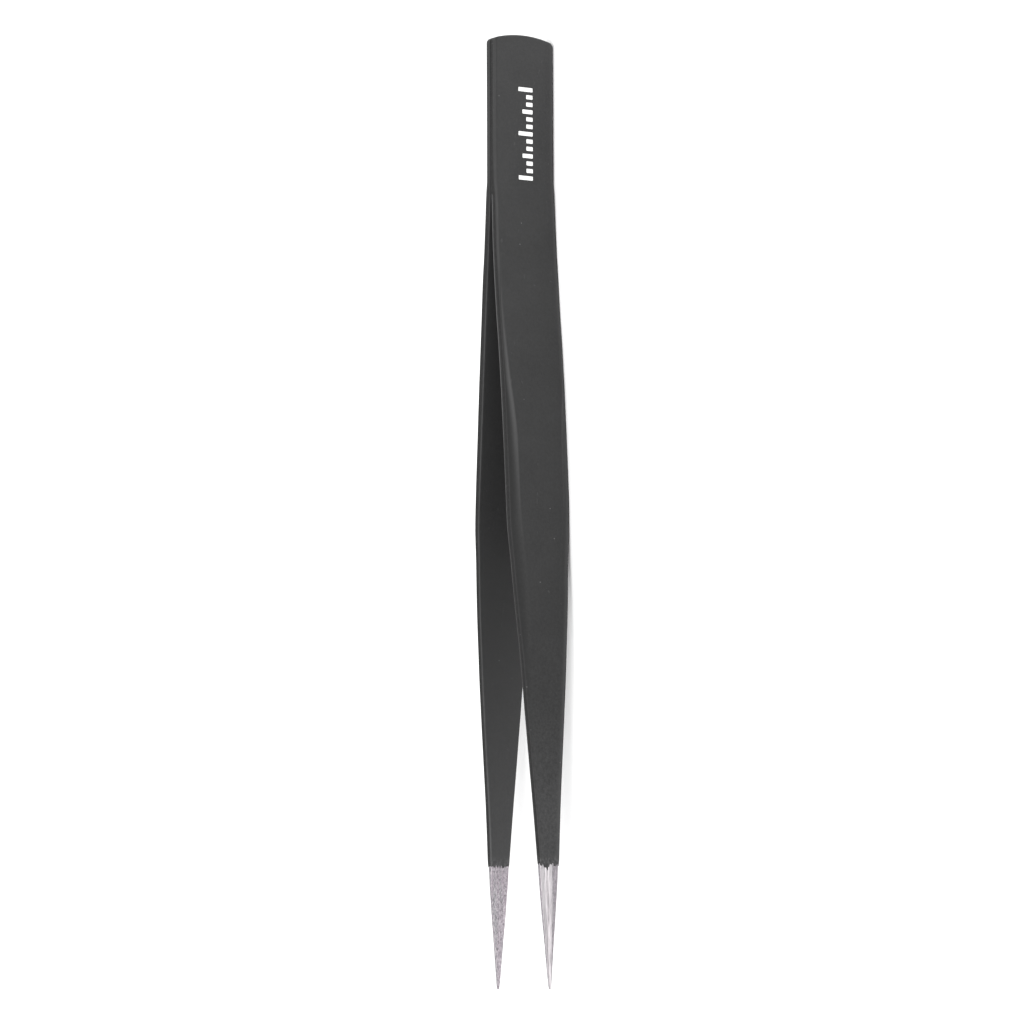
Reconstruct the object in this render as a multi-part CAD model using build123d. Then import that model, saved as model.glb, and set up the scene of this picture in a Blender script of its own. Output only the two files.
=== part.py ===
from build123d import *
import math
import os

# Precision tweezers: two ground spring-steel arms, spot-welded face to face at the tail,
# dipped in a thin black epoxy coating that stops short of the two bare, ground points.
# Frame, in millimetres: X runs along the tweezers with the tail at +X and the points at -X,
# Y is the direction the arms open in, with the marked front arm at -Y,
# Z is the width of the arms. The tweezers lie on the lower long edges of the arms, at Z = 0.

os.makedirs("parts", exist_ok=True)

# ---------------------------------------------------------------- driving dimensions
LENGTH = 125.0          # tail end to points
WIDTH = 9.36            # widest part of the arms, coated
COAT = 0.10             # thickness of the epoxy coating
COAT_THIN = 0.06        # its thickness where it ends above the bare point
TAIL_HALF = 1.20        # half the thickness of the welded tail, coated
WELD_END = 21.3         # distance from the tail end at which the coated arms part: the coating bridges the slit up to here
STEEL_PART = 19.4       # distance at which the steel leaves part, under the coating
FLEX = 34.6             # distance of the flex line, where each arm's spring bend is centred
FLEX_GAP = 0.12         # clearance between the tail leaf and the arm at the flex line
COAT_END = 109.0        # distance at which the coating ends and the bare point begins
END_SAGITTA = 0.70      # bulge of the tail's rounded end
END_CORNER_R = 0.72     # corner radius of the tail's rounded end
EDGE_R = 0.30           # rounding of the tail's long edges
SEAM_D = 0.09           # depth and half-width of the seam line between the two leaves
NUGGET_R = 1.50         # radius of a spot-weld nugget
NUGGET_T = 0.90         # thickness of a spot-weld nugget, across both leaves
NUGGETS_AT = (5.5, 14.5)
INK = 0.03              # thickness of the printed marks
MARK_FROM, MARK_TO = 7.0, 19.3
MARK_H = 2.20
MARK_LINE = 0.46
MARK_Z = -0.10          # middle of the marks, from the middle of the width

X_TAIL = LENGTH / 2
Z_MID = WIDTH / 2

# Sections of one coated arm, from the weld to the end of the coating.
# distance from the tail, inner face to mid-plane, thickness, width,
# outer edge relief's width (Z) and depth (Y), inner edge's rounding,
# how far the section's middle lies below the middle of the widest part:
# the lower edges are straight and level, so a slightly narrower section is lower at its upper edge only
COATED = [
    (21.30, 0.000, 1.375, 9.20, 0.30, 0.30, 0.09, 0.000),
    (21.60, 0.145, 1.240, 9.21, 0.30, 0.30, 0.10, 0.000),
    (24.50, 0.285, 1.240, 9.28, 0.30, 0.28, 0.13, 0.000),
    (28.50, 0.510, 1.235, 9.36, 0.30, 0.27, 0.16, 0.000),
    (32.00, 0.765, 1.255, 9.36, 0.29, 0.28, 0.17, 0.000),
    (36.50, 1.165, 1.265, 9.35, 0.28, 0.33, 0.17, 0.005),
    (41.50, 1.645, 1.370, 9.29, 0.36, 0.41, 0.17, 0.035),
    (45.70, 2.000, 1.475, 9.25, 0.56, 0.46, 0.17, 0.055),
    (49.60, 2.305, 1.545, 9.23, 0.90, 0.51, 0.17, 0.065),
    (53.60, 2.605, 1.530, 9.22, 1.18, 0.52, 0.17, 0.070),
    (57.50, 2.875, 1.485, 9.22, 1.26, 0.48, 0.17, 0.070),
    (61.50, 3.135, 1.410, 9.22, 1.34, 0.45, 0.17, 0.070),
    (65.40, 3.385, 1.310, 9.00, 1.42, 0.42, 0.17, 0.000),
    (69.30, 3.665, 1.205, 8.49, 1.42, 0.37, 0.17, 0.000),
    (73.30, 3.955, 1.130, 8.02, 1.32, 0.31, 0.16, 0.000),
    (77.20, 4.220, 1.080, 7.49, 1.08, 0.28, 0.16, 0.000),
    (81.10, 4.460, 1.040, 6.87, 0.82, 0.25, 0.16, 0.000),
    (85.00, 4.640, 1.010, 6.32, 0.62, 0.22, 0.16, 0.000),
    (89.00, 4.760, 0.980, 5.75, 0.48, 0.20, 0.16, 0.000),
    (93.00, 4.885, 0.970, 5.14, 0.40, 0.20, 0.16, 0.000),
    (97.00, 5.005, 0.960, 4.53, 0.35, 0.20, 0.16, 0.000),
    (101.00, 5.140, 0.970, 3.90, 0.32, 0.20, 0.16, 0.000),
    (105.00, 5.290, 0.980, 3.35, 0.30, 0.20, 0.16, 0.000),
    (109.00, 5.455, 0.980, 2.86, 0.30, 0.20, 0.16, 0.000),
]
# Sections of the bare ground point, the same columns.
POINT = [
    (110.60, 5.615, 0.770, 2.66, 0.34, 0.19, 0.14, 0.000),
    (113.40, 5.690, 0.700, 2.27, 0.34, 0.18, 0.14, 0.000),
    (116.00, 5.755, 0.620, 1.86, 0.30, 0.16, 0.13, 0.000),
    (118.60, 5.825, 0.530, 1.37, 0.24, 0.14, 0.11, 0.000),
    (121.80, 5.930, 0.390, 0.86, 0.17, 0.11, 0.08, 0.000),
    (123.90, 6.020, 0.270, 0.52, 0.11, 0.08, 0.06, 0.000),
    (124.80, 6.070, 0.190, 0.32, 0.07, 0.06, 0.05, 0.000),
    (125.00, 6.090, 0.150, 0.22, 0.05, 0.05, 0.04, 0.000),
]


def between(table, s):
    """The row of a section table at distance s, by smooth interpolation."""
    xs = [r[0] for r in table]
    if s <= xs[0]:
        return table[0]
    if s >= xs[-1]:
        return table[-1]
    i = max(k for k in range(len(xs) - 1) if xs[k] <= s)
    h = xs[i + 1] - xs[i]
    t = (s - xs[i]) / h
    row = [s]
    for c in range(1, len(table[0])):
        slope = [(table[k + 1][c] - table[k][c]) / (xs[k + 1] - xs[k]) for k in range(len(xs) - 1)]

        def tangent(k):
            if k == 0:
                return slope[0]
            if k == len(xs) - 1:
                return slope[-1]
            a, b = slope[k - 1], slope[k]
            return 0.0 if a * b <= 0 else 2 * a * b / (a + b)

        p0, p1 = table[i][c], table[i + 1][c]
        m0, m1 = tangent(i) * h, tangent(i + 1) * h
        row.append(
            (2 * t**3 - 3 * t**2 + 1) * p0 + (t**3 - 2 * t**2 + t) * m0
            + (-2 * t**3 + 3 * t**2) * p1 + (t**3 - t**2) * m1
        )
    return tuple(row)


def inset(row, d):
    """A section drawn in by d on every side."""
    s, a, thick, wide, bw, bd, r, low = row
    return (s, a + d, thick - 2 * d, wide - 2 * d, bw, bd, max(0.04, r - 0.4 * d), low)


def section(row):
    """One front-arm section (on the -Y side) as a face across X."""
    s, a, thick, wide, bw, bd, r, low = row
    x = X_TAIL - s
    zt, zb = Z_MID - low + wide / 2, Z_MID - low - wide / 2
    yi, yo = -a, -(a + thick)

    def p(y, z):
        return Vector(x, y, z)

    def corner(c, start, end, bulge):
        """An arc from start to end whose middle stands bulge off the straight line between them, towards c."""
        half_way = (start + end) * 0.5
        along = (end - start).normalized()
        out = (c - half_way) - along * (c - half_way).dot(along)
        return ThreePointArc(start, half_way + out.normalized() * bulge, end)

    def rounding(start, end):
        return (end - start).length * 0.207

    # the outer long edges are round where the relief is narrow, and hollow-ground where it is wide
    hollow = min(1.0, max(0.0, (bw - 0.36) / 0.45))
    a1, a2 = p(yo, zt - bw), p(yo + bd, zt)
    b1, b2 = p(yi - r, zt), p(yi, zt - r)
    c1, c2 = p(yi, zb + r), p(yi - r, zb)
    d1, d2 = p(yo + bd, zb), p(yo, zb + bw)
    full = rounding(a1, a2) * (1 - hollow) - 0.045 * hollow
    inner = rounding(b1, b2) if r > 0.12 else 0.005  # the weld seam's edges are plain small bevels
    edges = [
        corner(p(yo, zt), a1, a2, full),
        Line(a2, b1),
        corner(p(yi, zt), b1, b2, inner),
        Line(b2, c1),
        corner(p(yi, zb), c1, c2, inner),
        Line(c2, d1),
        corner(p(yo, zb), d1, d2, full),
        Line(d2, a1),
    ]
    return Face(Wire(edges))


def through(rows):
    """A solid through the sections in rows, straight from each to the next."""
    return Solid.make_loft([section(r).outer_wire() for r in rows], True)


def end_cutter(inset_by):
    """A block that gives a tail its rounded end: its outline across the width is a bulging end with round corners."""
    half = 9.16 / 2 + 0.02 - inset_by
    x0, x1 = X_TAIL - inset_by, X_TAIL - 50
    xc = x0 - END_SAGITTA
    v = [Vector(x, 0, z) for x, z in ((x1, Z_MID - half - 0.5), (xc, Z_MID - half), (x0, Z_MID), (xc, Z_MID + half), (x1, Z_MID + half + 0.5))]
    outline = Wire([Line(v[0], v[1]), ThreePointArc(v[1], v[2], v[3]), Line(v[3], v[4]), Line(v[4], v[0])])
    block = Solid.extrude(Face(outline), Vector(0, 8, 0)).moved(Location((0, -4, 0)))
    corners = [e for e in block.edges() if abs(e.tangent_at(0.5).Y) > 0.99 and e.center().X > X_TAIL - 3]
    return block.fillet(END_CORNER_R - inset_by / 2, corners)


def mirrored(shape):
    return shape.mirror(Plane.XZ)


def one_solid(shape):
    found = shape.solids()
    return found[0] if len(found) == 1 else Compound(found)


# ---------------------------------------------------------------- the welded tail
# Each leaf's coated outside. In the weld the two meet on the mid-plane, and their small inner
# bevels leave the fine seam line that runs round the sides.
tail_rows = [r for r in COATED if r[0] < FLEX - FLEX_GAP / 2] + [between(COATED, FLEX - FLEX_GAP / 2)]
weld_rows = [
    (-1.0, 0.0, TAIL_HALF, 9.15, EDGE_R, EDGE_R, SEAM_D, 0.0),
    (10.0, 0.0, TAIL_HALF, 9.13, EDGE_R, EDGE_R, SEAM_D, 0.0),
    (STEEL_PART, 0.0, TAIL_HALF, 9.17, EDGE_R, EDGE_R, SEAM_D, 0.0),
]
half_coated = one_solid(through(weld_rows + tail_rows) & end_cutter(0))

# Steel leaf: flat in the weld, then bent away. It starts to part under the coating.
steel_rows = [
    (-1.0, 0.0, TAIL_HALF - COAT, 9.15 - 2 * COAT, 0.22, 0.22, 0.05, 0.0),
    (10.0, 0.0, TAIL_HALF - COAT, 9.13 - 2 * COAT, 0.22, 0.22, 0.05, 0.0),
    (STEEL_PART, 0.0, TAIL_HALF - COAT, 9.17 - 2 * COAT, 0.22, 0.22, 0.05, 0.0),
    (WELD_END, 0.225, 1.050, 9.20 - 2 * COAT, 0.24, 0.23, 0.05, 0.0),
] + [inset(r, COAT) for r in tail_rows[1:]]
leaf = one_solid(through(steel_rows) & end_cutter(COAT))
rear_leaf = mirrored(leaf)

tail_coat = half_coated + mirrored(half_coated)
tail_coat = tail_coat - leaf - rear_leaf

# Spot-weld nuggets, buried between the two leaves.
nuggets = []
for s in NUGGETS_AT:
    disc = Solid.make_cylinder(
        NUGGET_R, NUGGET_T, Plane(origin=(X_TAIL - s, -NUGGET_T / 2, Z_MID), z_dir=(0, 1, 0))
    )
    disc = disc.chamfer(0.2, None, disc.edges().filter_by(GeomType.CIRCLE))
    nuggets.append(disc)
for n in nuggets:
    leaf = leaf - n
    rear_leaf = rear_leaf - n
leaf, rear_leaf = one_solid(leaf), one_solid(rear_leaf)

# ---------------------------------------------------------------- the arms
arm_first = between(COATED, FLEX + FLEX_GAP / 2)
coated_rows = [arm_first] + [r for r in COATED if r[0] > FLEX + FLEX_GAP / 2]
blank_rows = [inset(r, COAT) for r in coated_rows[:-1]] + [inset(coated_rows[-1], COAT_THIN)] + POINT
blank = through(blank_rows)
arm_coat = one_solid(through(coated_rows) - blank)

# ---------------------------------------------------------------- printed marks
# A plain graduated band of ticks, printed on the front face of the tail.
ticks = []
count = 13
pitch = (MARK_TO - MARK_FROM - MARK_LINE) / (count - 1)
for i in range(count):
    tall = MARK_H if i % 6 == 0 else (0.72 * MARK_H if i % 3 == 0 else 0.45 * MARK_H)
    x = X_TAIL - MARK_FROM - MARK_LINE / 2 - i * pitch
    tick = Solid.make_box(MARK_LINE, INK, tall)
    ticks.append(tick.moved(Location((x - MARK_LINE / 2, -TAIL_HALF - INK, Z_MID + MARK_Z - MARK_H / 2))))
marks = Compound(ticks)

# ---------------------------------------------------------------- output
nodes = {
    "front_tail_leaf": leaf,
    "rear_tail_leaf": rear_leaf,
    "spot_weld_nuggets": Compound(nuggets),
    "tail_coating": one_solid(tail_coat),
    "printed_tick_marks": marks,
    "front_arm_blank": blank,
    "front_arm_coating": arm_coat,
    "rear_arm_blank": mirrored(blank),
    "rear_arm_coating": mirrored(arm_coat),
}
for name, shape in nodes.items():
    export_step(shape, f"parts/{name}.step")
    box = shape.bounding_box()
    print(
        f"{name}: {len(shape.solids())} solid(s), {shape.volume:.3f} mm3, valid {shape.is_valid}, "
        f"x {box.min.X:.2f}..{box.max.X:.2f} y {box.min.Y:.2f}..{box.max.Y:.2f} z {box.min.Z:.3f}..{box.max.Z:.3f}"
    )
mid = between(COATED, FLEX)
print(f"hinge at x {X_TAIL - FLEX:.3f}, y -/+ {mid[1] + mid[2] / 2:.4f}, z {Z_MID:.3f}")
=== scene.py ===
import math

import bpy
import bmesh
import numpy as np
from mathutils import Matrix, Vector, noise


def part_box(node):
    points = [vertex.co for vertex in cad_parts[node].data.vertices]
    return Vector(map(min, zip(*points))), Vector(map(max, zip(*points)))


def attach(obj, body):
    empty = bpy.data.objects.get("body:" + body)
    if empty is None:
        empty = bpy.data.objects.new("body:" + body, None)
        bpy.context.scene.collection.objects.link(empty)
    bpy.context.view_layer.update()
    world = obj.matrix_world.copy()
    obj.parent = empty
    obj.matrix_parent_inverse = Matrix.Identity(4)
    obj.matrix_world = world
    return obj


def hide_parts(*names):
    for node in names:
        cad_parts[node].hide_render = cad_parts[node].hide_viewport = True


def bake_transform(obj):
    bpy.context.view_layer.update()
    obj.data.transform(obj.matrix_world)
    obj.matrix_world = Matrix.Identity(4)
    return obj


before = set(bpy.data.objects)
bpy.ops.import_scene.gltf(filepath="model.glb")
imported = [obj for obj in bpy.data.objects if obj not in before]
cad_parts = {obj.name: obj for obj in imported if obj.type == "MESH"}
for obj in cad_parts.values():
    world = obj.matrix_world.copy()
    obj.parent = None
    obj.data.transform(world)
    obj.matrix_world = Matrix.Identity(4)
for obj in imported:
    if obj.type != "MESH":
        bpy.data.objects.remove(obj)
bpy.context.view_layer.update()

MM = 0.001

# ------------------------------------------------------------------ shape of the tweezers (mm)
# The same sections as the CAD frame: distance from the tail end, inner face to mid-plane,
# thickness and width of one coated arm, and how far its middle lies below the widest part's middle.
COAT = 0.10
LENGTH = 125.0
X_TAIL = LENGTH / 2
TAIL_HALF = 1.20
COAT_END = 109.0
COATED = np.array([
    (-1.00, 0.000, 1.200, 9.15, 0.000),
    (10.00, 0.000, 1.200, 9.13, 0.000),
    (19.40, 0.000, 1.200, 9.17, 0.000),
    (21.30, 0.000, 1.375, 9.20, 0.000),
    (21.60, 0.145, 1.240, 9.21, 0.000),
    (24.50, 0.285, 1.240, 9.28, 0.000),
    (28.50, 0.510, 1.235, 9.36, 0.000),
    (32.00, 0.765, 1.255, 9.36, 0.000),
    (36.50, 1.165, 1.265, 9.35, 0.005),
    (41.50, 1.645, 1.370, 9.29, 0.035),
    (45.70, 2.000, 1.475, 9.25, 0.055),
    (49.60, 2.305, 1.545, 9.23, 0.065),
    (53.60, 2.605, 1.530, 9.22, 0.070),
    (57.50, 2.875, 1.485, 9.22, 0.070),
    (61.50, 3.135, 1.410, 9.22, 0.070),
    (65.40, 3.385, 1.310, 9.00, 0.000),
    (69.30, 3.665, 1.205, 8.49, 0.000),
    (73.30, 3.955, 1.130, 8.02, 0.000),
    (77.20, 4.220, 1.080, 7.49, 0.000),
    (81.10, 4.460, 1.040, 6.87, 0.000),
    (85.00, 4.640, 1.010, 6.32, 0.000),
    (89.00, 4.760, 0.980, 5.75, 0.000),
    (93.00, 4.885, 0.970, 5.14, 0.000),
    (97.00, 5.005, 0.960, 4.53, 0.000),
    (101.00, 5.140, 0.970, 3.90, 0.000),
    (105.00, 5.290, 0.980, 3.35, 0.000),
    (109.00, 5.455, 0.980, 2.86, 0.000),
    (111.00, 5.530, 0.970, 2.62, 0.000),
])
# The ground relief along the outer long edges: distance, depth, width, rounding of the side's edge,
# and how strongly the slope gathers at the ridge between the relief and the face.
RELIEF = np.array([
    (-1.0, 0.00, 0.60, 0.36, 2.0),
    (22.0, 0.00, 0.60, 0.36, 2.0),
    (28.0, 0.00, 0.45, 0.34, 2.0),
    (32.0, 0.10, 0.24, 0.22, 1.6),
    (36.5, 0.30, 0.20, 0.12, 1.4),
    (41.5, 0.38, 0.30, 0.10, 1.5),
    (45.7, 0.42, 0.50, 0.10, 1.8),
    (49.6, 0.48, 0.86, 0.11, 2.1),
    (53.6, 0.49, 1.13, 0.12, 2.1),
    (57.5, 0.45, 1.18, 0.13, 1.9),
    (61.5, 0.40, 1.25, 0.14, 1.7),
    (65.4, 0.35, 1.43, 0.15, 1.6),
    (69.3, 0.29, 1.58, 0.16, 1.5),
    (73.3, 0.22, 1.60, 0.17, 1.5),
    (77.2, 0.17, 1.45, 0.17, 1.5),
    (81.1, 0.11, 1.15, 0.18, 1.5),
    (85.0, 0.06, 0.85, 0.19, 1.5),
    (89.0, 0.02, 0.60, 0.20, 1.6),
    (93.0, 0.00, 0.45, 0.20, 2.0),
    (111.0, 0.00, 0.40, 0.20, 2.0),
])
# The bare ground point: distance, inner face to mid-plane, thickness, width, facet depth, facet width, rounding.
POINT = np.array([
    (106.00, 5.430, 0.780, 3.02, 0.10, 0.70, 0.090),
    (109.00, 5.530, 0.850, 2.76, 0.20, 0.76, 0.070),
    (110.60, 5.615, 0.770, 2.66, 0.24, 0.78, 0.060),
    (113.40, 5.690, 0.700, 2.27, 0.24, 0.68, 0.050),
    (116.00, 5.755, 0.620, 1.86, 0.21, 0.56, 0.050),
    (118.60, 5.825, 0.530, 1.37, 0.17, 0.42, 0.040),
    (121.80, 5.930, 0.390, 0.86, 0.12, 0.27, 0.035),
    (123.90, 6.020, 0.270, 0.52, 0.08, 0.16, 0.030),
    (124.80, 6.070, 0.190, 0.32, 0.05, 0.09, 0.025),
    (125.00, 6.090, 0.150, 0.22, 0.03, 0.06, 0.020),
])
END_HALF = 4.573
END_SAG = 0.70
END_R = (END_HALF**2 + END_SAG**2) / (2 * END_SAG)
CORNER_R = 0.72
CORNER_Z = END_HALF - CORNER_R
CORNER_S = END_R - math.sqrt((END_R - CORNER_R) ** 2 - CORNER_Z**2)
Z_MID = 4.68


def at(table, s):
    """A table's row at distance s, smoothly between its rows."""
    xs = table[:, 0]
    if s <= xs[0]:
        return table[0, 1:]
    if s >= xs[-1]:
        return table[-1, 1:]
    i = int(np.searchsorted(xs, s, side="right") - 1)
    h = xs[i + 1] - xs[i]
    t = (s - xs[i]) / h
    slope = (table[1:, 1:] - table[:-1, 1:]) / (xs[1:] - xs[:-1])[:, None]

    def tangent(k):
        if k == 0:
            return slope[0]
        if k == len(xs) - 1:
            return slope[-1]
        a, b = slope[k - 1], slope[k]
        safe = np.where(a * b > 0, a + b, 1.0)
        return np.where(a * b > 0, 2 * a * b / safe, 0.0)

    p0, p1 = table[i, 1:], table[i + 1, 1:]
    m0, m1 = tangent(i) * h, tangent(i + 1) * h
    return (
        (2 * t**3 - 3 * t**2 + 1) * p0 + (t**3 - 2 * t**2 + t) * m0
        + (-2 * t**3 + 3 * t**2) * p1 + (t**3 - t**2) * m1
    )


def end_half(s, inset):
    """Half the width of the tail's rounded end at distance s."""
    r, rc = END_R - inset, CORNER_R - inset
    tangent_s = END_R - (END_R - CORNER_S) * r / (END_R - CORNER_R)
    if s <= inset:
        return 0.0
    if s <= tangent_s:
        return math.sqrt(max(0.0, r**2 - (END_R - s) ** 2))
    if s < CORNER_S:
        return CORNER_Z + math.sqrt(max(0.0, rc**2 - (CORNER_S - s) ** 2))
    return END_HALF - inset


def end_depth(s, z, inset):
    """How far a point of the tail's outline lies in from its edge."""
    z = abs(z)
    if s < CORNER_S and z > CORNER_Z:
        return CORNER_R - inset - math.hypot(CORNER_S - s, z - CORNER_Z)
    return min(END_R - inset - math.hypot(END_R - s, z), END_HALF - inset - z)


def rounded(d, r):
    """Drop of a rounded edge of radius r at depth d in from the edge."""
    if d >= r:
        return 0.0
    return r - math.sqrt(max(0.0, r * r - (r - max(d, 0.0)) ** 2))


N_FLAT, N_BEV, N_ARC, N_SIDE, N_IN, N_INNER = 14, 11, 5, 4, 5, 14


def spaced(n, lead):
    """n + 1 numbers from -1 to 1, with a short first and last step."""
    body = np.linspace(-1 + lead, 1 - lead, n - 1)
    return np.concatenate([[-1.0], body, [1.0]])


def ring(a, thick, wide, hb, bw, rs, r_in, power, near=1.0, far=1.0, wider=0.0):
    """One section of the front leaf, as (y, z, kind) going round it: 0 outer face, 1 to 1.45 relief, 2 outer rounding, 3 side, 4 inner rounding, 5 inner face.
    near and far scale the relief on the upper and the lower edge, and wider widens it on the lower one."""
    yo, yi = -(a + thick), -a
    half = wide / 2
    pts = []

    def corner(scale, bw):
        h = hb * scale
        top = min(bw + 0.28, 0.86 * half)
        lead = np.linspace(0, 1, N_BEV + 1)
        d = top + (rs - top) * lead**1.15
        k = 0.05 * min(1.0, h / 0.1) + 1e-4
        raw = h * (1 - (np.clip(d, 0, None) / bw) ** power)
        edge_raw = h * (1 - (rs / bw) ** power)
        drop = (raw + np.sqrt(raw**2 + (k * h) ** 2 + 1e-9)) / 2
        base = (edge_raw + math.sqrt(edge_raw**2 + (k * h) ** 2 + 1e-9)) / 2
        # kind over the relief: 0 to 1 across the last of the face, 1 at the ridge, up to 1.45 on the floor beside the edge
        if h > 0.02:
            out = [
                (dd, dr, 1 + 0.45 * min(1.0, dr / base) if dd < bw else max(0.0, 1 - (dd - bw) / (top - bw + 1e-6)))
                for dd, dr in zip(d, drop)
            ]
        else:
            out = [(dd, dr, 0) for dd, dr in zip(d, drop)]
        for j in range(1, N_ARC + 1):
            t = j / N_ARC * math.pi / 2
            out.append((rs - rs * math.sin(t), base + rs - rs * math.cos(t), 2))
        return out

    up, low = corner(near, bw), corner(far, bw + wider)
    z_up, z_low = half - up[0][0], half - low[0][0]
    for u in spaced(N_FLAT, 0.05)[1:-1]:
        z = (z_up + z_low) / 2 * u + (z_up - z_low) / 2
        pts.append((yo, z, 0))
    for d, drop, kind in up:
        pts.append((yo + drop, half - d, kind))
    y_side = yo + up[-1][1]
    for j in range(1, N_SIDE + 1):
        u = (spaced(N_SIDE, 0.25)[j] + 1) / 2
        pts.append((y_side + (yi - r_in - y_side) * u, half, 3))
    for j in range(1, N_IN + 1):
        t = j / N_IN * math.pi / 2
        pts.append((yi - r_in + r_in * math.sin(t), half - r_in + r_in * math.cos(t), 4))
    for u in spaced(N_INNER, 0.05)[1:-1]:
        pts.append((yi, -(half - r_in) * u, 5))
    for j in range(N_IN, 0, -1):
        t = j / N_IN * math.pi / 2
        pts.append((yi - r_in + r_in * math.sin(t), -(half - r_in + r_in * math.cos(t)), 4))
    y_side = yo + low[-1][1]
    for j in range(N_SIDE, 0, -1):
        u = (spaced(N_SIDE, 0.25)[j] + 1) / 2
        pts.append((y_side + (yi - r_in - y_side) * u, -half, 3))
    for d, drop, kind in reversed(low):
        pts.append((yo + drop, -(half - d), kind))
    return pts


def facet_wider(s):
    """How much wider the point's lower outer facet is than its upper one."""
    return float(np.interp(s, [110.8, 113.5, 117.0, 121.8], [0.26, 0.17, 0.07, 0.0]))


def coat_ring(s, inset, lift=0.0):
    """A coated section at distance s drawn in by inset. Near the tail's end it follows the rounded outline."""
    a, thick, wide, low = at(COATED, s)
    hb, bw, rs, power = at(RELIEF, s)
    r_in = 0.12 + 0.02 * min(1.0, max(0.0, (s - 21.0) / 7.0))
    base_s = max(s, 1.6)
    if s < 1.6:
        a, thick, wide, low = at(COATED, base_s)
        wide = 2 * END_HALF
    inset_in = inset if s > 19 else inset * 0.6
    pts = ring(
        a + inset_in, thick - inset - inset_in, wide - 2 * inset, hb, bw,
        max(0.08, rs - 0.6 * inset), max(0.04, r_in - 0.6 * inset), power, 1.0, 0.75,
    )
    if s >= 1.6:
        return [(y, z - low, kind) for y, z, kind in pts]
    half0, half = END_HALF - inset, end_half(s, inset)
    out = []
    rs, r_in = max(0.08, rs - 0.6 * inset), max(0.04, r_in - 0.6 * inset)
    for y, z, kind in pts:
        z2 = z * half / half0
        d = end_depth(s, z2, inset)
        if kind <= 2:
            y = -(a + thick - inset) + rounded(d, rs)
        elif kind in (4, 5):
            y = -(a + inset_in) - rounded(d, r_in)
        out.append((y, z2, kind))
    return out


def end_stations(inset):
    """Distances of the sections over the tail's rounded end."""
    r = END_R - inset
    zs = np.linspace(0, 3.9, 17)[1:]
    arc = [END_R - math.sqrt(r * r - z * z) for z in zs]
    turn = np.linspace(0.0, 1.0, 12)[1:]
    last = arc[-1]
    return [inset] + arc + [last + (CORNER_S - last) * t**1.6 for t in turn] + [CORNER_S + 0.1, CORNER_S + 0.25]


# ------------------------------------------------------------------ mesh building
def smooth_noise(x, y, z, seed):
    return noise.noise(Vector((x + 31.7 * seed, y - 17.3 * seed, z + 5.1 * seed)))


def make_mesh(name, rings, side, closing=(), cap_end=True):
    """Joins rings of (x, y, z, kind) in mm into one closed mesh. closing is a second shell, in reverse order, joined at the end."""
    order = list(rings) + list(reversed(closing))
    n = len(order[0])
    me = bpy.data.meshes.new(name)
    bm = bmesh.new()
    kind_layer = bm.verts.layers.float.new("kind")
    rows = []
    for r in order:
        row = []
        for x, y, z, kind in r:
            v = bm.verts.new((x * MM, y * side * MM, (z + Z_MID) * MM))
            v[kind_layer] = kind
            row.append(v)
        rows.append(row)
    for i in range(len(rows) - 1):
        for j in range(n):
            k = (j + 1) % n
            bm.faces.new((rows[i][j], rows[i][k], rows[i + 1][k], rows[i + 1][j]))
    if cap_end and not closing:
        bm.faces.new(rows[-1])
    bmesh.ops.remove_doubles(bm, verts=bm.verts, dist=2e-7)
    bmesh.ops.dissolve_degenerate(bm, dist=1e-7, edges=bm.edges)
    holes = [e for e in bm.edges if e.is_boundary]
    if holes:
        bmesh.ops.holes_fill(bm, edges=holes, sides=0)
    bmesh.ops.recalc_face_normals(bm, faces=bm.faces)
    for f in bm.faces:
        f.smooth = True
    bm.to_mesh(me)
    bm.free()
    # places and kinds at rest, for the materials
    rest = me.attributes.new("rest_mm", "FLOAT_VECTOR", "POINT")
    co = np.empty(len(me.vertices) * 3)
    me.vertices.foreach_get("co", co)
    rest.data.foreach_set("vector", (co / MM).astype(np.float32))
    # how far in from the outer face, out from the inner face and in from the nearer long edge each place is, in mm
    known = {}
    places = np.empty((len(me.vertices), 3))
    for i, (x, y, z) in enumerate((co / MM).reshape(-1, 3)):
        s = round(X_TAIL - x, 2)
        if s not in known:
            known[s] = tuple(at(COATED, s))
        a, thick, wide, low = known[s]
        places[i] = (a + thick - abs(y), abs(y) - a, wide / 2 - abs(z - Z_MID + low))
    for k, label in enumerate(("from_outer", "from_inner", "from_edge")):
        layer = me.attributes.new(label, "FLOAT", "POINT")
        layer.data.foreach_set("value", places[:, k].astype(np.float32))
    obj = bpy.data.objects.new(name, me)
    bpy.context.scene.collection.objects.link(obj)
    return obj


def ragged(side):
    """Where the coating ends round the section, as a function of the place round it in mm."""
    rng = np.random.default_rng(11 if side > 0 else 23)
    edges, p = [], -0.3
    while p < 12:
        edges.append(p)
        p += rng.uniform(0.26, 0.62)
    depth = rng.uniform(0.20, 0.62, len(edges))
    base = rng.uniform(-0.10, 0.12, len(edges))

    def end_at(p, z, kind):
        i = max(k for k in range(len(edges) - 1) if edges[k] <= p)
        u = (p - edges[i]) / (edges[i + 1] - edges[i])
        b = base[i] * (1 - u) + base[i + 1] * u
        s = COAT_END + 0.27 + b - depth[i] * math.sin(math.pi * u) ** 0.7
        s += 0.10 * smooth_noise(p * 6.0, 1.3, 0.2, side)
        if side > 0 and kind < 1.6:
            s += 0.80 * math.exp(-(((z - 0.55) / 0.20) ** 2)) + 0.35 * math.exp(-(((z - 0.90) / 0.12) ** 2))
        return s

    return end_at


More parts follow.
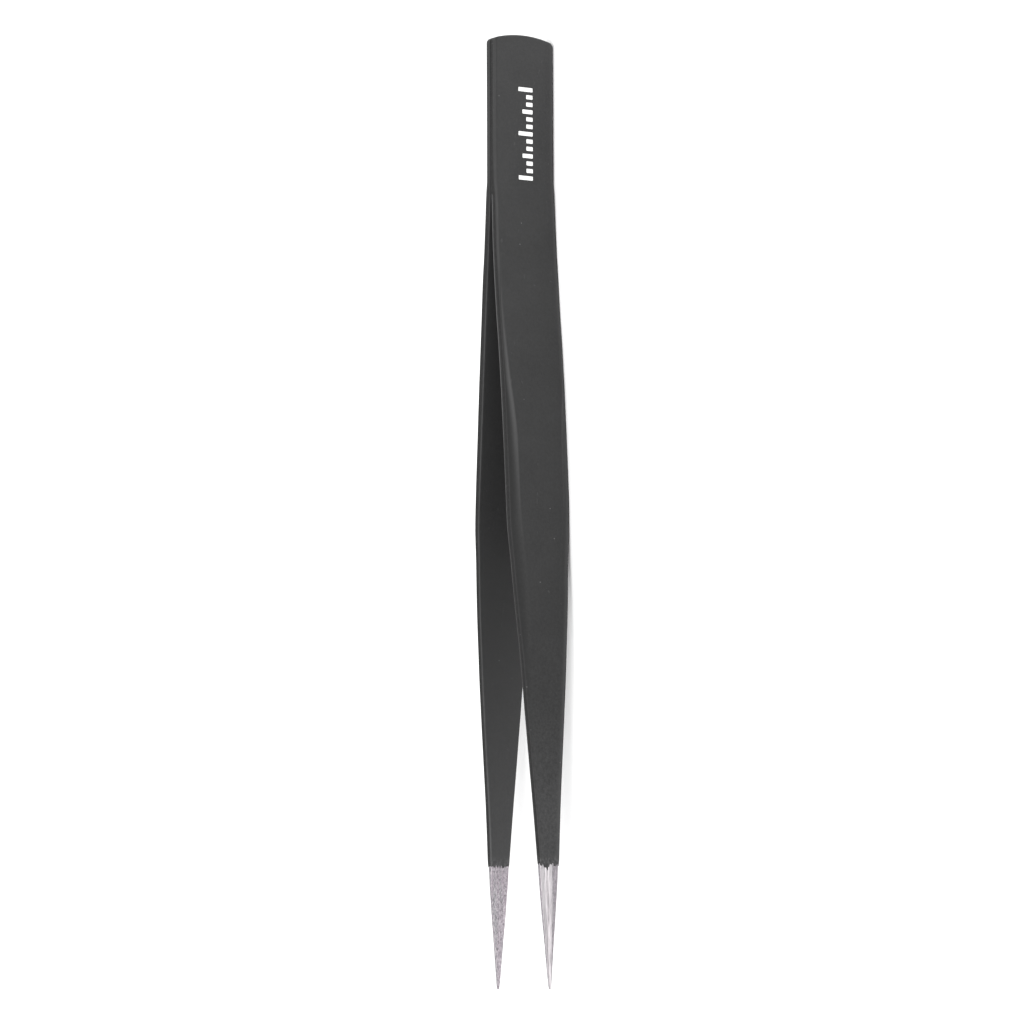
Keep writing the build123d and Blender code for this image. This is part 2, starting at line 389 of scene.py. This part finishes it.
def build_coat(name, side):
    """The epoxy coat of one whole arm, from the tail's end to the ragged edge above the point."""
    end_at = ragged(side)
    body = list(np.arange(2.1, 19, 0.7)) + list(np.arange(19.0, 21.2, 0.3)) + list(np.arange(21.2, 21.9, 0.1)) + list(np.arange(22.0, 103.0, 0.5)) + list(np.arange(103.0, 106.8, 0.2))
    tail_part = np.linspace(106.8, COAT_END, 26)[1:]

    def grid(inset, thin_end):
        out = []
        for s in end_stations(inset) + body + [106.8]:
            x = X_TAIL - s
            row = []
            for y, z, kind in coat_ring(s, inset):
                if inset == 0 and s > 1.6:
                    wob = 0.010 * smooth_noise(x * 0.35, y * 0.5 + side, z * 0.5, 3) + 0.004 * smooth_noise(x * 1.6, y * 2, z * 2, 5)
                    y += wob if (kind < 1.6 or kind == 5) and s > 24 else 0.0
                    z += wob * (1 if z > 0 else -1) * 0.6 if kind == 3 else 0.0
                row.append((x, y, z, kind))
            out.append(row)
        base = coat_ring(COAT_END, inset)
        run, p = [], 0.0
        for j, (y, z, kind) in enumerate(base):
            if j:
                p += math.hypot(y - base[j - 1][0], z - base[j - 1][1])
            run.append(p)
        for s in tail_part:
            f = (s - 106.8) / (COAT_END - 106.8)
            row = []
            for j, (y0, z0, kind) in enumerate(base):
                s_j = 106.8 + f * (end_at(run[j], z0, kind) - 106.8)
                g = max(0.0, 1 - (end_at(run[j], z0, kind) - s_j) / 0.9)
                thin = (0.030 * g * g if thin_end else 0.0)
                y, z, kind = coat_ring(min(s_j, 110.99), inset + thin)[j]
                if thin_end:
                    w = 0.014 * g * smooth_noise(s_j * 3.1, run[j] * 3.3, 2.0, side)
                    y += w if kind <= 2 else (-w if kind >= 4 else 0)
                row.append((X_TAIL - s_j, y, z, kind))
            out.append(row)
        return out

    outer = grid(0.0, True)
    inner = grid(COAT * 0.95, False)
    return make_mesh(name, outer, side, closing=inner)


def build_steel(name, side):
    """The steel of one whole arm: flat under the coating, faceted at the bare point."""
    inset = COAT * 1.06
    rows = []
    body = list(np.arange(2.1, 19, 1.4)) + list(np.arange(19.4, 22.0, 0.3)) + list(np.arange(22.0, 105.0, 1.0))
    for s in end_stations(inset) + body:
        rows.append([(X_TAIL - s, y, z, kind) for y, z, kind in coat_ring(s, inset)])
    fine = list(np.arange(106.0, 124.0, 0.25)) + list(np.arange(124.0, 124.96, 0.12)) + [124.97]
    for s in fine:
        a, thick, wide, hb, bw, rs = at(POINT, s)
        if s < 108.2:
            a, thick, wide = a + 0.01, thick - 0.02, wide - 0.02
        row = []
        for y, z, kind in ring(a, thick, wide, hb, bw, rs, rs, 1.0, 1.0, 1.15, facet_wider(s)):
            w = 0.007 * min(1.0, thick / 0.6) * smooth_noise(s * 0.8, y * 2.2, z * 2.2, 7 + side)
            row.append((X_TAIL - s, y + w, z + w * 0.7, kind))
        rows.append(row)
    # the blunt end of the point
    a, thick, wide, hb, bw, rs = at(POINT, 124.97)
    for s, scale in ((124.99, 0.8), (125.0, 0.45)):
        rows.append([
            (X_TAIL - s, -(a + thick / 2) + (y + a + thick / 2) * scale, z * scale, kind)
            for y, z, kind in ring(a, thick, wide, hb, bw, rs, rs, 1.0, 1.0, 1.15, facet_wider(s))
        ])
    return make_mesh(name, rows, side)


def build_ticks(name):
    """The printed ticks: thin pads of ink with round corners and slightly uneven edges."""
    bm = bmesh.new()
    lo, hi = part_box("printed_tick_marks")
    ink, top = 0.022, -TAIL_HALF
    count, x0, x1 = 13, hi[0] / MM, lo[0] / MM
    high = (hi[2] - lo[2]) / MM
    z_low = lo[2] / MM
    line = 0.55
    for i in range(count):
        tall = high if i % 6 == 0 else (0.72 * high if i % 3 == 0 else 0.45 * high)
        cx = (x0 - line / 2) + (x1 + line / 2 - (x0 - line / 2)) * i / (count - 1)
        cz = z_low + tall / 2
        outline = []
        r = 0.09
        for sx, sz, a0 in ((1, 1, 0), (-1, 1, 90), (-1, -1, 180), (1, -1, 270)):
            for k in range(5):
                t = math.radians(a0 + 22.5 * k)
                outline.append((sx * (line / 2 - r) + r * math.cos(t), sz * (tall / 2 - r) + r * math.sin(t)))
        full = []
        for k, p in enumerate(outline):
            q = outline[(k + 1) % len(outline)]
            long = math.hypot(q[0] - p[0], q[1] - p[1])
            m = max(1, int(long / 0.09))
            for j in range(m):
                full.append((p[0] + (q[0] - p[0]) * j / m, p[1] + (q[1] - p[1]) * j / m))
        levels = []
        for lev, (dy, grow) in enumerate(((0.004, 0.0), (-ink * 0.7, 0.0), (-ink, -0.014))):
            loop = []
            for u, w in full:
                rad = 1 + 0.02 * smooth_noise((cx + u) * 5, (cz + w) * 5, 0.0, 2)
                n = math.hypot(u, w) or 1.0
                uu, ww = u * rad + grow * u / n, w * rad + grow * w / n
                loop.append(bm.verts.new(((cx + uu) * MM, (top + dy) * MM, (cz + ww) * MM)))
            levels.append(loop)
        for a_, b_ in ((0, 1), (1, 2)):
            for k in range(len(full)):
                m = (k + 1) % len(full)
                bm.faces.new((levels[a_][k], levels[a_][m], levels[b_][m], levels[b_][k]))
        bm.faces.new(levels[0])
        bm.faces.new(levels[2])
    bmesh.ops.recalc_face_normals(bm, faces=bm.faces)
    me = bpy.data.meshes.new(name)
    bm.to_mesh(me)
    bm.free()
    rest = me.attributes.new("rest_mm", "FLOAT_VECTOR", "POINT")
    co = np.empty(len(me.vertices) * 3)
    me.vertices.foreach_get("co", co)
    rest.data.foreach_set("vector", (co / MM).astype(np.float32))
    obj = bpy.data.objects.new(name, me)
    bpy.context.scene.collection.objects.link(obj)
    return obj


# ------------------------------------------------------------------ materials
class Nodes:
    """A small helper for wiring a material's nodes."""

    def __init__(self, name):
        self.material = bpy.data.materials.new(name)
        self.material.use_nodes = True
        self.tree = self.material.node_tree
        self.tree.nodes.clear()
        self.out = self.add("ShaderNodeOutputMaterial")
        self.shader = self.add("ShaderNodeBsdfPrincipled")
        self.link(self.shader.outputs[0], self.out.inputs["Surface"])

    def add(self, kind, **props):
        node = self.tree.nodes.new(kind)
        for k, v in props.items():
            setattr(node, k, v)
        return node

    def link(self, a, b):
        self.tree.links.new(a, b)

    def place(self, scale=(1, 1, 1)):
        """Rest coordinates in mm, scaled."""
        source = self.add("ShaderNodeAttribute", attribute_name="rest_mm")
        mapping = self.add("ShaderNodeMapping")
        mapping.inputs["Scale"].default_value = scale
        self.link(source.outputs["Vector"], mapping.inputs["Vector"])
        return mapping.outputs[0]

    def noise(self, scale, detail=3.0, rough=0.55, where=(1, 1, 1), kind="FBM", distortion=0.0):
        n = self.add("ShaderNodeTexNoise", noise_type=kind)
        n.inputs["Scale"].default_value = scale
        n.inputs["Detail"].default_value = detail
        n.inputs["Roughness"].default_value = rough
        n.inputs["Distortion"].default_value = distortion
        self.link(self.place(where), n.inputs["Vector"])
        return n.outputs["Fac"]

    def ramp(self, value, *stops, interpolation="LINEAR"):
        r = self.add("ShaderNodeValToRGB")
        r.color_ramp.interpolation = interpolation
        e = r.color_ramp.elements
        first, last = e[0], e[1]
        first.position, last.position = stops[0][0], stops[-1][0]
        for stop, (pos, col) in enumerate(stops):
            el = e[0] if stop == 0 else (e[-1] if stop == len(stops) - 1 else e.new(pos))
            el.color = (*col, 1) if isinstance(col, tuple) else (col, col, col, 1)
        self.link(value, r.inputs[0])
        return r.outputs[0]

    def math(self, op, a, b=0.0, c=None, clamp=False):
        m = self.add("ShaderNodeMath", operation=op, use_clamp=clamp)
        for i, v in enumerate((a, b) if c is None else (a, b, c)):
            if isinstance(v, (int, float)):
                m.inputs[i].default_value = v
            else:
                self.link(v, m.inputs[i])
        return m.outputs[0]

    def remap(self, value, a, b, c, d, smooth=False):
        m = self.add("ShaderNodeMapRange", interpolation_type="SMOOTHSTEP" if smooth else "LINEAR")
        self.link(value, m.inputs[0])
        for i, v in enumerate((a, b, c, d)):
            m.inputs[i + 1].default_value = v
        return m.outputs[0]

    def mix(self, fac, a, b, blend="MIX"):
        m = self.add("ShaderNodeMix", data_type="RGBA", blend_type=blend)
        for socket, v in ((m.inputs[0], fac), (m.inputs[6], a), (m.inputs[7], b)):
            if isinstance(v, (int, float)):
                socket.default_value = v
            elif isinstance(v, tuple):
                socket.default_value = (*v, 1)
            else:
                self.link(v, socket)
        return m.outputs[2]

    def bump(self, height, strength, distance, before=None):
        b = self.add("ShaderNodeBump")
        b.inputs["Strength"].default_value = strength
        b.inputs["Distance"].default_value = distance
        self.link(height, b.inputs["Height"])
        if before is not None:
            self.link(before, b.inputs["Normal"])
        return b.outputs[0]

    def kind(self):
        return self.value("kind")

    def value(self, label):
        return self.add("ShaderNodeAttribute", attribute_name=label).outputs["Fac"]

    def scaled(self, colour, factor):
        v = self.add("ShaderNodeVectorMath", operation="SCALE")
        self.link(colour, v.inputs[0])
        self.link(factor, v.inputs["Scale"])
        return v.outputs[0]


def coating_material():
    m = Nodes("black_epoxy_coating")
    kind = m.kind()
    rest = m.add("ShaderNodeSeparateXYZ")
    m.link(m.place(), rest.inputs[0])
    x, y, z = rest.outputs
    along = m.remap(m.math("SUBTRACT", X_TAIL, x), 0, LENGTH, 0, 1)
    upper = m.remap(z, Z_MID - 0.6, Z_MID + 0.6, 0.35, 1.0)

    def bump_of(value, centre, width):
        return m.math("SUBTRACT", 1.0, m.math("MULTIPLY", m.math("ABSOLUTE", m.math("SUBTRACT", value, centre)), 1.0 / width), clamp=True)

    def by_length(*stops):
        return m.ramp(along, *[(s / LENGTH, v) for s, v in stops], interpolation="B_SPLINE")

    from_outer, from_inner, from_edge = m.value("from_outer"), m.value("from_inner"), m.value("from_edge")
    upper_only = m.remap(z, Z_MID - 0.4, Z_MID + 0.4, 0, 1)
    # 1 on the side faces and their roundings, 0 on the broad faces
    side = m.math("MULTIPLY", m.remap(kind, 1.6, 2.7, 0, 1, True), m.remap(kind, 3.6, 4.4, 1, 0, True))
    inner = m.remap(kind, 4.4, 4.95, 0, 1)
    # painted highlight: the inner long edges are painted paler past the weld, fading out over the side face; in the
    # seam they stay dark
    past_weld = m.remap(x, 41.25, 40.85, 0, 1, True)
    on_side = m.math("MULTIPLY", m.remap(kind, 2.3, 2.95, 0, 1), m.remap(kind, 4.05, 4.9, 1, 0))
    edge = m.math("ADD", m.remap(from_inner, 0.08, 0.25, 0.78, 0, True), m.remap(from_inner, 0.08, 0.60, 0.22, 0, True))
    edge = m.math("MULTIPLY", m.math("MULTIPLY", edge, on_side), past_weld)
    edge = m.math("MULTIPLY", edge, m.remap(m.noise(1.3, 3, 0.6, (0.5, 1, 1)), 0.32, 0.62, 0.78, 1.0))
    front_edge_highlight = by_length((0, 0.88), (27, 0.88), (39, 1.0), (46, 0.95), (51, 0.86), (56, 0.48), (62, 0.46), (67, 0.50), (73, 0.28), (79, 0.38), (85, 0.29), (108, 0.40))
    rear_edge_highlight = by_length((0, 0.07), (27, 0.07), (39, 0.18), (46, 0.13), (51, 0.18), (62, 0.13), (67, 0.19), (79, 0.18), (85, 0.24), (93, 0.25), (100, 0.29), (108, 0.34))
    front = m.remap(y, -0.1, 0.1, 1.0, 0.0)
    edge = m.math("MULTIPLY", edge, m.math("ADD", m.math("MULTIPLY", front_edge_highlight, front), m.math("MULTIPLY", rear_edge_highlight, m.math("SUBTRACT", 1.0, front))))
    # painted shade: the seam groove between the tail's leaves is painted near black
    seam_shade = m.math("MULTIPLY", m.math("MULTIPLY", m.remap(kind, 3.2, 3.9, 0, 1), m.remap(kind, 4.9, 5.0, 1, 0.6)), m.math("SUBTRACT", 1.0, past_weld))
    # painted highlight on the slope of the relief towards its ridge, more narrowly so further down, and painted shade
    # on its floor
    fall = m.math("POWER", m.remap(kind, 1.0, 1.45, 1, 0), m.math("ADD", 1.0, m.math("MULTIPLY", by_length((0, 0), (53, 0), (60, 1), (125, 1)), 2.4)))
    ridge_highlight = m.math("MULTIPLY", m.remap(kind, 0.05, 0.95, 0, 1, True), fall)
    ridge_highlight = m.math("MULTIPLY", m.math("MULTIPLY", ridge_highlight, upper_only), by_length((0, 0), (30, 0.05), (36, 0.42), (41, 0.88), (45, 1), (52, 1), (58, 0.74), (63, 0.38), (68, 0.10), (76, 0.05), (92, 0)))
    # painted shade on the floor of the relief
    hollow_shade = m.math("MULTIPLY", m.remap(kind, 1.12, 1.42, 0, 1), m.remap(kind, 1.7, 2.0, 1, 0))
    hollow_shade = m.math("MULTIPLY", m.math("MULTIPLY", hollow_shade, upper_only), by_length((0, 0), (34, 0), (41, 1), (78, 0.9), (92, 0)))
    # painted highlight on the outer long edges of the tail and the spring bend, on the tail some way in on the side
    # face
    tail_highlight_depth = by_length((0, 0.45), (16, 0.45), (20, 0.30), (24, 0.0), (125, 0.0))
    tail_edge_highlight = m.math("SUBTRACT", 1.0, m.math("MULTIPLY", m.math("ABSOLUTE", m.math("SUBTRACT", from_outer, tail_highlight_depth)), 2.6), clamp=True)
    tail_edge_highlight = m.math("MULTIPLY", tail_edge_highlight, m.math("MULTIPLY", m.remap(kind, 1.3, 1.9, 0, 1), m.remap(kind, 3.5, 3.9, 1, 0)))
    tail_edge_highlight = m.math("MULTIPLY", m.math("MULTIPLY", tail_edge_highlight, upper), by_length((0, 1), (30, 1), (34, 0.35), (36.5, 0), (125, 0)))
    tail_edge_highlight = m.math("MULTIPLY", tail_edge_highlight, m.remap(m.noise(0.9, 4, 0.7, (0.6, 1, 1)), 0.36, 0.66, 0.7, 1.1))
    # painted highlight: the lower long edge of the outer face is painted a little paler
    low_edge_highlight = m.math("MULTIPLY", m.remap(from_edge, 0.0, 0.95, 1, 0, True), m.math("SUBTRACT", 1.0, upper_only))
    low_edge_highlight = m.math("MULTIPLY", low_edge_highlight, m.remap(kind, 2.2, 2.9, 1, 0))
    # the coat is scuffed thin just above its ragged end
    scuff = m.math("MULTIPLY", m.remap(x, -44.9, -46.3, 0, 1, True), m.remap(m.noise(2.2, 4, 0.7, (0.6, 1, 1)), 0.46, 0.60, 0, 1))
    # broad tone, fine grain and mottling
    cloud = m.noise(0.22, 3, 0.5)
    grain = m.noise(9.0, 4, 0.7)
    mottle = m.noise(2.6, 4, 0.65)
    tone = m.mix(m.remap(cloud, 0.35, 0.65, 0, 1), (0.0175, 0.0175, 0.0178), (0.0212, 0.0212, 0.0215))
    tone = m.mix(m.remap(grain, 0.3, 0.72, 0, 0.5), tone, (0.0285, 0.0285, 0.0288))
    # the coat is paler on the tail and towards the points, where it is more mottled too
    factor = m.math("MULTIPLY", by_length((0, 0.71), (5, 0.70), (10, 0.64), (17, 0.63), (20, 0.63), (24, 0.555), (31, 0.555), (38, 0.575), (43, 0.485), (50, 0.50), (56, 0.46), (63, 0.475), (72, 0.45), (80, 0.42), (89, 0.44), (94, 0.53), (98, 0.625), (101, 0.69), (106, 0.74)), 2.0)
    speckled = m.math("MULTIPLY", m.remap(mottle, 0.3, 0.7, -0.34, 0.34), by_length((0, 0.30), (76, 0.30), (92, 1), (125, 1)))
    tone = m.scaled(tone, m.math("MULTIPLY", factor, m.math("ADD", 1.0, speckled)))
    # painted light: the inner faces are painted paler to lift the shaded gap between the arms, more so towards the
    # points
    tone = m.mix(m.math("MULTIPLY", inner, by_length((0, 0.385), (62, 0.385), (72, 0.76), (108, 0.76))), tone, (0.044, 0.044, 0.0445))
    tone = m.mix(m.math("MULTIPLY", low_edge_highlight, 0.75), tone, (0.050, 0.050, 0.0505))
    # painted shade: the side faces are painted much darker than the broad faces
    side_shade_tone = m.mix(m.remap(mottle, 0.38, 0.66, 0, 1), (0.0018, 0.0018, 0.0019), (0.0065, 0.0065, 0.0066))
    # the side faces of the tail get less of that painted shade and are painted paler, most of all on the rear leaf
    tail_side = by_length((0, 1), (17, 1), (22, 0.35), (28, 0.0), (125, 0.0))
    side_shade_tone = m.mix(m.math("MULTIPLY", tail_side, m.remap(y, -0.1, 0.1, 0.25, 1.0)), side_shade_tone, (0.023, 0.023, 0.0233))
    tone = m.mix(side, tone, side_shade_tone)
    # painted shade on the relief's floor
    tone = m.mix(m.math("MULTIPLY", hollow_shade, 0.75), tone, (0.0070, 0.0070, 0.0071))
    # painted highlight on the relief's ridge
    tone = m.mix(ridge_highlight, tone, (0.046, 0.046, 0.0465))
    # painted highlight on the tail's outer long edges
    tone = m.mix(m.math("MULTIPLY", tail_edge_highlight, 0.85), tone, (0.040, 0.040, 0.0405))
    # painted highlight along the inner long edges
    tone = m.mix(edge, tone, (0.165, 0.165, 0.1665))
    # painted shade in the seam groove
    tone = m.mix(seam_shade, tone, (0.0015, 0.0015, 0.0015))
    # painted shade on the lower outer rounding
    under = m.math("MULTIPLY", m.math("MULTIPLY", m.remap(kind, 1.5, 1.9, 0, 1), m.remap(kind, 2.1, 2.6, 1, 0)), m.math("SUBTRACT", 1.0, upper_only))
    tone = m.mix(m.math("MULTIPLY", under, 0.8), tone, (0.0020, 0.0020, 0.0020))
    tone = m.mix(m.math("MULTIPLY", scuff, 0.55), tone, (0.100, 0.098, 0.100))
    # sparse pale specks: dust pinholes in the coat
    cells = m.add("ShaderNodeTexVoronoi", feature="F1")
    cells.inputs["Scale"].default_value = 0.72
    cells.inputs["Randomness"].default_value = 1.0
    m.link(m.place(), cells.inputs["Vector"])
    channel = m.add("ShaderNodeSeparateColor")
    m.link(cells.outputs["Color"], channel.inputs[0])
    pick = m.math("GREATER_THAN", channel.outputs[0], 0.74)
    near = m.math("LESS_THAN", cells.outputs["Distance"], 0.052)
    speck = m.math("MULTIPLY", pick, near)
    # hairline scratches: thin bent lines
    line = m.add("ShaderNodeTexVoronoi", feature="DISTANCE_TO_EDGE")
    line.inputs["Scale"].default_value = 0.16
    shift = m.add("ShaderNodeVectorMath", operation="ADD")
    m.link(m.place((0.35, 1.0, 1.0)), shift.inputs[0])
    m.link(m.math("MULTIPLY", m.noise(0.5, 2, 0.5), 0.25), shift.inputs[1])
    m.link(shift.outputs[0], line.inputs["Vector"])
    hair = m.math("LESS_THAN", line.outputs["Distance"], 0.006)
    hair = m.math("MULTIPLY", hair, m.remap(m.noise(1.1, 2, 0.5), 0.60, 0.66, 0, 1))
    tone = m.mix(m.math("MULTIPLY", speck, 0.8), tone, (0.13, 0.13, 0.13))
    tone = m.mix(m.math("MULTIPLY", hair, 0.3), tone, (0.060, 0.060, 0.060))
    m.link(tone, m.shader.inputs["Base Color"])
    rough = m.remap(m.noise(1.4, 3, 0.6), 0.3, 0.7, 0.42, 0.50)
    rough = m.math("ADD", rough, m.math("MULTIPLY", side, 0.12))
    m.link(rough, m.shader.inputs["Roughness"])
    m.shader.inputs["Specular IOR Level"].default_value = 0.25
    fine = m.bump(m.noise(7.0, 4, 0.65), 0.45, 0.000024)
    peel = m.bump(m.noise(1.7, 2, 0.5), 0.4, 0.00004, fine)
    scratched = m.bump(m.math("SUBTRACT", 1.0, hair), 0.4, 0.00001, peel)
    rough_side = m.add("ShaderNodeBump")
    rough_side.inputs["Strength"].default_value = 0.6
    rough_side.inputs["Distance"].default_value = 0.00008
    m.link(m.math("MULTIPLY", m.noise(3.4, 4, 0.7), side), rough_side.inputs["Height"])
    m.link(scratched, rough_side.inputs["Normal"])
    m.link(rough_side.outputs[0], m.shader.inputs["Normal"])
    return m.material


def steel_material():
    """Ground steel: a polished outer face with long grinding streaks, and duller side facets and inner faces."""
    m = Nodes("ground_steel")
    kind = m.kind()
    rest = m.add("ShaderNodeSeparateXYZ")
    m.link(m.place(), rest.inputs[0])
    z = rest.outputs[2]
    streak = m.noise(1.0, 5, 0.65, (0.30, 9, 9))
    wide_streak = m.noise(1.0, 3, 0.5, (0.10, 2.6, 2.6))
    fine = m.noise(1.0, 4, 0.7, (2.2, 30, 30))
    pits = m.noise(5.5, 4, 0.75, (0.45, 1, 1))
    # 1 on the inner faces and on the lower outer facet, which are ground coarser and look duller; on the lower facet
    # the darker colour is also painted shade
    inner = m.remap(kind, 3.6, 4.6, 0, 1)
    facet = m.math("MULTIPLY", m.remap(kind, 0.9, 1.06, 0, 1), m.remap(kind, 1.7, 2.2, 1, 0))
    lower = m.math("MULTIPLY", facet, m.remap(z, Z_MID - 0.02, Z_MID + 0.02, 1, 0))
    dull = m.math("MAXIMUM", m.math("MAXIMUM", inner, lower), m.math("MULTIPLY", m.remap(kind, 1.7, 2.4, 0, 1), m.remap(kind, 4.0, 4.5, 1, 0)))
    bright = m.mix(m.remap(wide_streak, 0.40, 0.60, 0, 1), (0.520, 0.485, 0.505), (0.425, 0.405, 0.420))
    bright = m.mix(m.remap(streak, 0.50, 0.57, 0, 1), bright, (0.68, 0.650, 0.668))
    bright = m.mix(m.remap(streak, 0.46, 0.39, 0, 1), bright, (0.23, 0.220, 0.230))
    # painted shade on the outermost strip of the upper outer facet
    facet_edge_shade = m.math("MULTIPLY", m.remap(kind, 1.12, 1.35, 0, 1), m.remap(kind, 1.7, 2.2, 1, 0))
    bright = m.mix(m.math("MULTIPLY", facet_edge_shade, 0.5), bright, (0.33, 0.315, 0.33))
    grey = m.mix(m.remap(wide_streak, 0.38, 0.62, 0, 1), (0.352, 0.310, 0.345), (0.318, 0.310, 0.326))
    grey = m.mix(m.remap(pits, 0.51, 0.61, 0, 0.8), grey, (0.57, 0.53, 0.56))
    grey = m.mix(m.remap(pits, 0.47, 0.37, 0, 0.85), grey, (0.14, 0.128, 0.14))
    # painted shade on the lower outer facet
    grey = m.mix(m.math("MULTIPLY", lower, 0.45), grey, (0.20, 0.19, 0.20))
    tint = m.mix(dull, bright, grey)
    tint = m.mix(m.remap(fine, 0.58, 0.76, 0, 0.45), tint, (0.21, 0.20, 0.215))
    m.link(tint, m.shader.inputs["Base Color"])
    m.shader.inputs["Metallic"].default_value = 1.0
    rough = m.math("ADD", m.remap(streak, 0.3, 0.7, 0.28, 0.42), m.math("MULTIPLY", dull, 0.10))
    m.link(rough, m.shader.inputs["Roughness"])
    b = m.bump(streak, 0.55, 0.000014)
    b = m.bump(fine, 0.5, 0.000007, b)
    b = m.bump(m.math("MULTIPLY", pits, dull), 0.5, 0.00002, b)
    m.link(b, m.shader.inputs["Normal"])
    return m.material


def ink_material():
    m = Nodes("white_printed_ink")
    wear = m.noise(5.0, 4, 0.6)
    m.link(m.mix(m.remap(wear, 0.28, 0.5, 0.35, 0), (0.86, 0.86, 0.85), (0.62, 0.62, 0.62)), m.shader.inputs["Base Color"])
    m.link(m.remap(wear, 0.3, 0.7, 0.45, 0.6), m.shader.inputs["Roughness"])
    m.link(m.bump(m.noise(12.0, 3, 0.6), 0.3, 0.000012), m.shader.inputs["Normal"])
    return m.material


def weld_material():
    m = Nodes("weld_steel")
    where = m.add("ShaderNodeTexCoord").outputs["Object"]
    grain = m.add("ShaderNodeTexNoise")
    grain.inputs["Scale"].default_value = 1400.0
    m.link(where, grain.inputs["Vector"])
    t = grain.outputs["Fac"]
    m.link(m.mix(m.remap(t, 0.3, 0.7, 0, 1), (0.42, 0.41, 0.41), (0.56, 0.55, 0.54)), m.shader.inputs["Base Color"])
    m.shader.inputs["Metallic"].default_value = 1.0
    m.shader.inputs["Roughness"].default_value = 0.55
    return m.material


def set_material(obj, material):
    obj.data.materials.clear()
    obj.data.materials.append(material)


# ------------------------------------------------------------------ the object
coating, steel, ink, weld = coating_material(), steel_material(), ink_material(), weld_material()

front_coat = build_coat("front_coat", 1)
rear_coat = build_coat("rear_coat", -1)
front_steel = build_steel("front_steel", 1)
rear_steel = build_steel("rear_steel", -1)
marks = build_ticks("tick_marks")

for obj, mat in ((front_coat, coating), (rear_coat, coating), (front_steel, steel), (rear_steel, steel), (marks, ink)):
    set_material(obj, mat)
set_material(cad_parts["spot_weld_nuggets"], weld)

for obj, arm in ((front_coat, "front_arm"), (front_steel, "front_arm"), (rear_coat, "rear_arm"), (rear_steel, "rear_arm")):
    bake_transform(obj)
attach(marks, "tail")

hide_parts("tail_coating", "front_arm_coating")
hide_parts("rear_arm_coating")
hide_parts("front_tail_leaf", "front_arm_blank")
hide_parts("rear_tail_leaf", "rear_arm_blank")
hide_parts("printed_tick_marks")

# ------------------------------------------------------------------ floor, light and camera
floor_mesh = bpy.data.meshes.new("floor")
bm = bmesh.new()
bmesh.ops.create_grid(bm, x_segments=2, y_segments=2, size=3.0)
bm.to_mesh(floor_mesh)
bm.free()
floor = bpy.data.objects.new("floor", floor_mesh)
bpy.context.scene.collection.objects.link(floor)
paper = Nodes("pale_floor")
paper.link(paper.mix(paper.add("ShaderNodeTexNoise").outputs["Fac"], (0.93, 0.93, 0.93), (0.95, 0.95, 0.95)), paper.shader.inputs["Base Color"])
paper.shader.inputs["Roughness"].default_value = 0.9
paper.shader.inputs["Specular IOR Level"].default_value = 0.1
set_material(floor, paper.material)

world = bpy.data.worlds.new("studio")
bpy.context.scene.world = world
world.use_nodes = True
background = world.node_tree.nodes["Background"]
background.inputs["Color"].default_value = (1, 1, 1, 1)
background.inputs["Strength"].default_value = 1.15


def area(name, place, aim, size, power):
    data = bpy.data.lights.new(name, "AREA")
    data.shape = "RECTANGLE"
    data.size, data.size_y = size
    data.energy = power
    lamp = bpy.data.objects.new(name, data)
    lamp.matrix_world = Matrix.Translation(place) @ (Vector(aim) - Vector(place)).to_track_quat("-Z", "Y").to_matrix().to_4x4()
    bpy.context.scene.collection.objects.link(lamp)
    return lamp


area("key", (-0.1, -0.80, 1.36), (0, 0, 0), (1.4, 1.5), 16)

ELEV = math.radians(33.0)
DIST = 0.630
centre = Vector((0, 0, Z_MID * MM))
eye = Vector((-0.0625, -DIST * math.cos(ELEV), DIST * math.sin(ELEV))) + centre
fwd = (centre - eye).normalized()
up = (Vector((1, 0, 0)) - fwd * fwd.x).normalized()
right = fwd.cross(up)
# aimed a little to the left of and below the object's centre
aim = centre - right * 0.00126 - up * 0.00046
fwd = (aim - eye).normalized()
up = (Vector((1, 0, 0)) - fwd * fwd.x).normalized()
up = Matrix.Rotation(math.radians(0.24), 3, fwd) @ up
right = fwd.cross(up)
cam_data = bpy.data.cameras.new("camera")
cam_data.lens = 170.5
cam_data.sensor_width = 36
cam_data.clip_start, cam_data.clip_end = 0.01, 20
camera = bpy.data.objects.new("camera", cam_data)
camera.matrix_world = Matrix.Translation(eye) @ Matrix((
    (right.x, up.x, -fwd.x), (right.y, up.y, -fwd.y), (right.z, up.z, -fwd.z),
)).to_4x4()
bpy.context.scene.collection.objects.link(camera)
bpy.context.scene.camera = camera

bpy.context.scene.view_settings.view_transform = "Standard"
bpy.context.scene.view_settings.look = "None"
